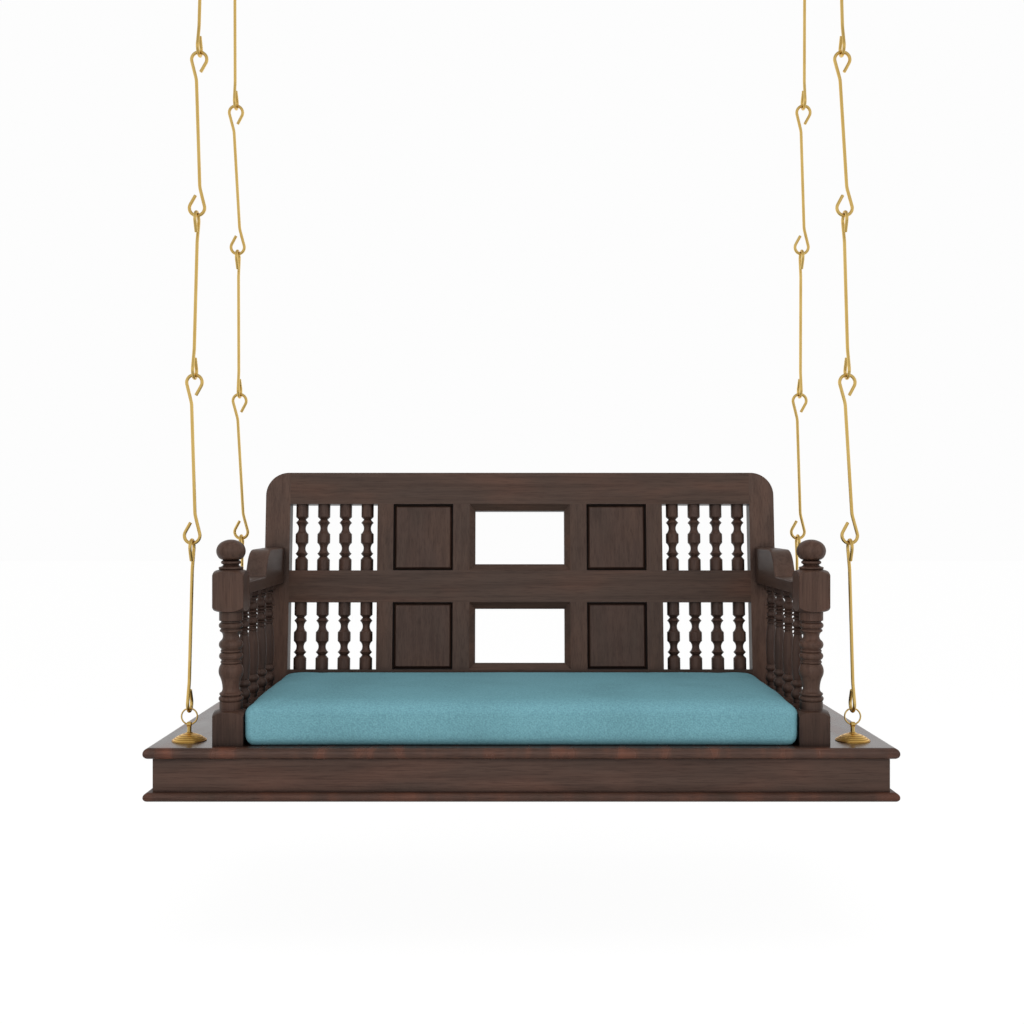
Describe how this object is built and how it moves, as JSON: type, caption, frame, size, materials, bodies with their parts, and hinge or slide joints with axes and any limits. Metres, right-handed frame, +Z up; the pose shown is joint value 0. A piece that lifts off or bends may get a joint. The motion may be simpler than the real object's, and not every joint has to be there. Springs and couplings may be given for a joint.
{
  "type": "ceiling-hung bench swing",
  "caption": "Wide cushioned bench swing of dark wood with turned posts, spindles and a panelled back, hung from the ceiling on chains of brass S-hook rods.",
  "frame": {"origin": "middle of the four ceiling studs, in the plane of the ceiling's face", "axes": "+X to the right along the bench as seen from its front, +Y towards its back, +Z up"},
  "size_m": [1.524, 0.701, 2.0441],
  "materials": {
    "stained_wood": "dark walnut stain under satin lacquer",
    "woven_cloth": "plain-woven teal upholstery cloth over foam",
    "brass": "polished, a little dulled",
    "zinc_steel": "zinc plated"
  },
  "bodies": {
    "ceiling": {"ceiling_roses": "brass", "ceiling_eye_bolts": "brass"},
    "seat": {"deck_board": "stained_wood", "apron_front": "stained_wood", "apron_rear": "stained_wood", "apron_ends": "stained_wood", "base_moulding": "stained_wood", "deck_bearers": "stained_wood", "hanger_blocks": "stained_wood", "left_post": "stained_wood", "right_post": "stained_wood", "left_arm_rail": "stained_wood", "right_arm_rail": "stained_wood", "left_arm_balusters": "stained_wood", "right_arm_balusters": "stained_wood", "left_stile": "stained_wood", "right_stile": "stained_wood", "top_rail": "stained_wood", "middle_rail": "stained_wood", "bottom_rail": "stained_wood", "muntins": "stained_wood", "panels": "stained_wood", "lower_window_frame": "stained_wood", "upper_window_frame": "stained_wood", "left_spindles": "stained_wood", "right_spindles": "stained_wood", "cushion": "woven_cloth", "seat_roses": "brass", "seat_eye_bolts": "brass", "hanger_washers": "zinc_steel", "hanger_nuts": "zinc_steel", "frame_screws": "zinc_steel"},
    "front_left_ceiling_ring": {"front_left_ceiling_ring": "brass"},
    "front_left_chain": {"front_left_rod_1": "brass", "front_left_rod_2": "brass", "front_left_rod_3": "brass", "front_left_rod_4": "brass", "front_left_rod_5": "brass"},
    "front_left_seat_ring": {"front_left_seat_ring": "brass"},
    "front_right_ceiling_ring": {"front_right_ceiling_ring": "brass"},
    "front_right_chain": {"front_right_rod_1": "brass", "front_right_rod_2": "brass", "front_right_rod_3": "brass", "front_right_rod_4": "brass", "front_right_rod_5": "brass"},
    "front_right_seat_ring": {"front_right_seat_ring": "brass"},
    "rear_left_ceiling_ring": {"rear_left_ceiling_ring": "brass"},
    "rear_left_chain": {"rear_left_rod_1": "brass", "rear_left_rod_2": "brass", "rear_left_rod_3": "brass", "rear_left_rod_4": "brass", "rear_left_rod_5": "brass"},
    "rear_left_seat_ring": {"rear_left_seat_ring": "brass"},
    "rear_right_ceiling_ring": {"rear_right_ceiling_ring": "brass"},
    "rear_right_chain": {"rear_right_rod_1": "brass", "rear_right_rod_2": "brass", "rear_right_rod_3": "brass", "rear_right_rod_4": "brass", "rear_right_rod_5": "brass"},
    "rear_right_seat_ring": {"rear_right_seat_ring": "brass"}
  },
  "joints": [
    {"name": "front_left_swing", "type": "hinge", "parent": "ceiling", "child": "front_left_ceiling_ring", "pos_m": [-0.6915, -0.1545, -0.0334], "axis": [1, 0, 0], "range_deg": [-10, 10]},
    {"name": "front_left_sway", "type": "hinge", "parent": "front_left_ceiling_ring", "child": "front_left_chain", "pos_m": [-0.6915, -0.15607, -0.06066], "axis": [0, 1, 0], "range_deg": [-5, 5]},
    {"name": "front_left_lower_sway", "type": "hinge", "parent": "front_left_chain", "child": "front_left_seat_ring", "pos_m": [-0.6915, -0.25693, -1.81496], "axis": [0, 1, 0], "range_deg": [-5, 5]},
    {"name": "front_left_seat_swing", "type": "hinge", "parent": "front_left_seat_ring", "child": "seat", "pos_m": [-0.6915, -0.2585, -1.84221], "axis": [1, 0, 0], "range_deg": [-6, 6]},
    {"name": "front_right_swing", "type": "hinge", "parent": "ceiling", "child": "front_right_ceiling_ring", "pos_m": [0.6915, -0.1545, -0.0334], "axis": [1, 0, 0], "range_deg": [-10, 10]},
    {"name": "front_right_sway", "type": "hinge", "parent": "front_right_ceiling_ring", "child": "front_right_chain", "pos_m": [0.6915, -0.15607, -0.06066], "axis": [0, 1, 0], "range_deg": [-5, 5]},
    {"name": "front_right_seat_swing", "type": "hinge", "parent": "seat", "child": "front_right_seat_ring", "pos_m": [0.6915, -0.2585, -1.84221], "axis": [1, 0, 0], "range_deg": [-6, 6]},
    {"name": "rear_left_swing", "type": "hinge", "parent": "ceiling", "child": "rear_left_ceiling_ring", "pos_m": [-0.6915, 0.1545, -0.0334], "axis": [1, 0, 0], "range_deg": [-10, 10]},
    {"name": "rear_left_sway", "type": "hinge", "parent": "rear_left_ceiling_ring", "child": "rear_left_chain", "pos_m": [-0.6915, 0.15607, -0.06066], "axis": [0, 1, 0], "range_deg": [-5, 5]},
    {"name": "rear_left_seat_swing", "type": "hinge", "parent": "seat", "child": "rear_left_seat_ring", "pos_m": [-0.6915, 0.2585, -1.84221], "axis": [1, 0, 0], "range_deg": [-6, 6]},
    {"name": "rear_right_swing", "type": "hinge", "parent": "ceiling", "child": "rear_right_ceiling_ring", "pos_m": [0.6915, 0.1545, -0.0334], "axis": [1, 0, 0], "range_deg": [-10, 10]},
    {"name": "rear_right_sway", "type": "hinge", "parent": "rear_right_ceiling_ring", "child": "rear_right_chain", "pos_m": [0.6915, 0.15607, -0.06066], "axis": [0, 1, 0], "range_deg": [-5, 5]},
    {"name": "rear_right_seat_swing", "type": "hinge", "parent": "seat", "child": "rear_right_seat_ring", "pos_m": [0.6915, 0.2585, -1.84221], "axis": [1, 0, 0], "range_deg": [-6, 6]}
  ],
  "couplings": [
    {"joint": "front_left_lower_sway", "follows": "front_left_sway", "ratio": -1},
    {"joint": "front_left_seat_swing", "follows": "front_left_swing", "ratio": -0.5977},
    {"joint": "front_right_swing", "follows": "front_left_swing", "ratio": 1},
    {"joint": "front_right_sway", "follows": "front_left_sway", "ratio": 1},
    {"joint": "front_right_seat_swing", "follows": "front_left_swing", "ratio": 0.5977},
    {"joint": "rear_left_swing", "follows": "front_left_swing", "ratio": 1},
    {"joint": "rear_left_sway", "follows": "front_left_sway", "ratio": 1},
    {"joint": "rear_left_seat_swing", "follows": "front_left_swing", "ratio": 0.5977},
    {"joint": "rear_right_swing", "follows": "front_left_swing", "ratio": 1},
    {"joint": "rear_right_sway", "follows": "front_left_sway", "ratio": 1},
    {"joint": "rear_right_seat_swing", "follows": "front_left_swing", "ratio": 0.5977}
  ]
}
